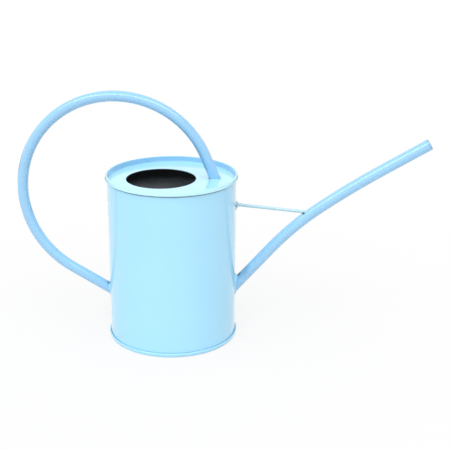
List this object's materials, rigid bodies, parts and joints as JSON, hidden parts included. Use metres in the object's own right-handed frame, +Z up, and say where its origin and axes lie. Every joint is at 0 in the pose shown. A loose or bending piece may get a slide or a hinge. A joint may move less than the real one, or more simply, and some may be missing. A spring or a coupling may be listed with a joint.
{
  "type": "watering can",
  "caption": "Round sheet-steel watering can with folded rims, an offset filling hole, a loop handle and a long thin braced spout, painted light blue.",
  "frame": {"origin": "centre of the standing ring under the body, on the surface that the can stands on", "axes": "+X towards the spout, -X towards the handle loop, +Z up, Y across the plane of symmetry"},
  "size_m": [0.4233, 0.1362, 0.2604],
  "materials": {
    "sky_blue_enamel": "glossy light blue enamel",
    "seam_sealant": "grey sealing compound"
  },
  "bodies": {
    "root": {"body_wall": "sky_blue_enamel", "top_plate": "sky_blue_enamel", "base_plate": "sky_blue_enamel", "handle_tube": "sky_blue_enamel", "handle_foot_weld": "sky_blue_enamel", "handle_root_weld": "sky_blue_enamel", "spout_tube": "sky_blue_enamel", "spout_weld": "sky_blue_enamel", "brace_rod": "sky_blue_enamel", "brace_wall_weld": "sky_blue_enamel", "brace_spout_weld": "sky_blue_enamel", "top_rim_seal": "seam_sealant", "base_rim_seal": "seam_sealant"}
  },
  "joints": []
}
